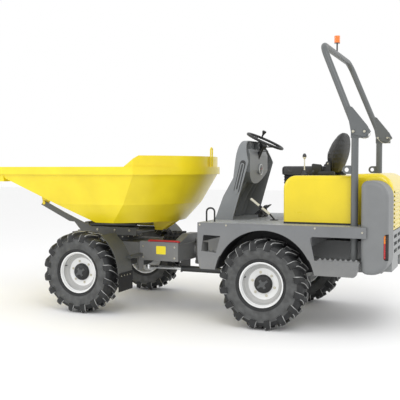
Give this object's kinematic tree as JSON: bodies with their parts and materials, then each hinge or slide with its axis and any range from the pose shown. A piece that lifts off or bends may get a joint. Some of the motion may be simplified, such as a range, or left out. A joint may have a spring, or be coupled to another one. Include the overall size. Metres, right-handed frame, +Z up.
{
  "type": "site dumper",
  "caption": "Articulated swivel-skip site dumper: front load skip that tips and slews, rear seat and engine, open roll frame, lugged tyres.",
  "frame": {"origin": "on the ground under the articulation pin, halfway along the machine and on its centre plane", "axes": "+X forward towards the skip, +Y to the machine's left, +Z up"},
  "size_m": [4.19, 1.86, 2.82],
  "materials": {
    "beacon_amber": "amber lens",
    "black_paint": "satin black paint",
    "engine_grey": "bare cast metal",
    "flap_rubber": "black sheet rubber",
    "frame_grey": "mid grey paint",
    "lamp_lens": "red and amber lens",
    "lock_red": "gloss red paint",
    "machine_yellow": "satin yellow paint",
    "panel_black": "textured black moulding",
    "rim_silver": "silver paint",
    "ring_steel": "machined steel",
    "rod_chrome": "hard chrome",
    "seat_vinyl": "black vinyl over foam",
    "skip_yellow": "satin yellow paint, scuffed inside",
    "tyre_rubber": "black tyre rubber",
    "wheel_plastic": "black grip plastic"
  },
  "bodies": {
    "rear_frame": {"rear_frame": "frame_grey", "outriggers": "frame_grey", "articulation_head": "frame_grey", "steer_bracket": "frame_grey", "rear_axle": "frame_grey", "deck_plate": "black_paint", "side_panels": "frame_grey", "side_steps": "frame_grey", "engine_block": "engine_grey", "side_pods": "frame_grey", "rear_bumper": "frame_grey", "seat_box": "machine_yellow", "seat_plinth": "black_paint", "seat_base": "panel_black", "seat_cushion": "seat_vinyl", "seat_back": "seat_vinyl", "drive_lever": "wheel_plastic", "dash_console": "panel_black", "steering_column": "black_paint", "rops_posts": "black_paint", "tail_lamps": "lamp_lens", "deck_loops": "black_paint", "foot_controls": "black_paint"},
    "pivot": {"pivot_block": "frame_grey"},
    "front_frame": {"front_frame": "frame_grey", "front_axle": "frame_grey", "slew_ring": "ring_steel", "mudguards": "black_paint", "mud_flaps": "flap_rubber", "lock_bar": "lock_red", "valve_block": "engine_grey"},
    "console": {"swivel_console": "frame_grey"},
    "tip_barrel": {"tip_barrel": "black_paint"},
    "tip_rod": {"tip_rod": "rod_chrome"},
    "skip": {"skip": "skip_yellow"},
    "bonnet": {"bonnet": "machine_yellow"},
    "rops": {"rops_bar": "black_paint", "beacon": "beacon_amber"},
    "steering_wheel": {"steering_wheel": "wheel_plastic"},
    "steer_barrel": {"steer_barrel": "black_paint"},
    "steer_rod": {"steer_rod": "rod_chrome"},
    "front_left_wheel": {"front_left_tyre": "tyre_rubber", "front_left_rim": "rim_silver"},
    "front_right_wheel": {"front_right_tyre": "tyre_rubber", "front_right_rim": "rim_silver"},
    "rear_left_wheel": {"rear_left_tyre": "tyre_rubber", "rear_left_rim": "rim_silver"},
    "rear_right_wheel": {"rear_right_tyre": "tyre_rubber", "rear_right_rim": "rim_silver"}
  },
  "joints": [
    {"name": "steering", "type": "hinge", "parent": "rear_frame", "child": "pivot", "pos_m": [0, 0, 0.62], "axis": [0, 0, 1], "range_deg": [-37, 37]},
    {"name": "oscillation", "type": "hinge", "parent": "pivot", "child": "front_frame", "pos_m": [0, 0, 0.62], "axis": [1, 0, 0], "range_deg": [-15, 15]},
    {"name": "front_left_wheel_spin", "type": "hinge", "parent": "front_frame", "child": "front_left_wheel", "pos_m": [1.04, 0.75, 0.4225], "axis": [0, 1, 0], "continuous": true},
    {"name": "rear_left_wheel_spin", "type": "hinge", "parent": "rear_frame", "child": "rear_left_wheel", "pos_m": [-0.95, 0.75, 0.4225], "axis": [0, 1, 0], "continuous": true},
    {"name": "front_right_wheel_spin", "type": "hinge", "parent": "front_frame", "child": "front_right_wheel", "pos_m": [1.04, -0.75, 0.4225], "axis": [0, 1, 0], "continuous": true},
    {"name": "rear_right_wheel_spin", "type": "hinge", "parent": "rear_frame", "child": "rear_right_wheel", "pos_m": [-0.95, -0.75, 0.4225], "axis": [0, 1, 0], "continuous": true},
    {"name": "swivel", "type": "hinge", "parent": "front_frame", "child": "console", "pos_m": [1.04, 0, 0.775], "axis": [0, 0, -1], "range_deg": [-90, 90]},
    {"name": "tip", "type": "hinge", "parent": "console", "child": "skip", "pos_m": [1.83, 0, 1.11], "axis": [0, 1, 0], "range_deg": [0, 50]},
    {"name": "tip_barrel_swing", "type": "hinge", "parent": "console", "child": "tip_barrel", "pos_m": [1.45, 0, 0.85], "axis": [0, 1, 0], "range_deg": [0, 58.9]},
    {"name": "tip_rod_slide", "type": "slide", "parent": "tip_barrel", "child": "tip_rod", "axis": [-0.9999, 0, 0.0129], "range_m": [0, 0.3532]},
    {"name": "bonnet_lift", "type": "hinge", "parent": "rear_frame", "child": "bonnet", "pos_m": [-1.753, 0, 1.436], "axis": [0, 1, 0], "range_deg": [0, 60]},
    {"name": "rops_fold", "type": "hinge", "parent": "rear_frame", "child": "rops", "pos_m": [-1.861, 0, 1.828], "axis": [0, 1, 0], "range_deg": [-110, 0]},
    {"name": "steering_wheel_spin", "type": "hinge", "parent": "rear_frame", "child": "steering_wheel", "pos_m": [-0.71, 0, 1.786], "axis": [-0.4226, 0, 0.9063], "continuous": true},
    {"name": "steer_barrel_swing", "type": "hinge", "parent": "rear_frame", "child": "steer_barrel", "pos_m": [-0.5, 0.2, 0.43], "axis": [0, 0, 1], "range_deg": [-19.7, 19.7]},
    {"name": "steer_rod_slide", "type": "slide", "parent": "steer_barrel", "child": "steer_rod", "axis": [1, 0, 0], "range_m": [-0.1275, 0.1275]}
  ],
  "couplings": [
    {"joint": "tip_barrel_swing", "follows": "tip", "ratio": 1.1739},
    {"joint": "tip_rod_slide", "follows": "tip", "m_per_rad": 0.40357},
    {"joint": "steer_barrel_swing", "follows": "steering", "ratio": 0.5289},
    {"joint": "steer_rod_slide", "follows": "steering", "m_per_rad": -0.1965}
  ]
}
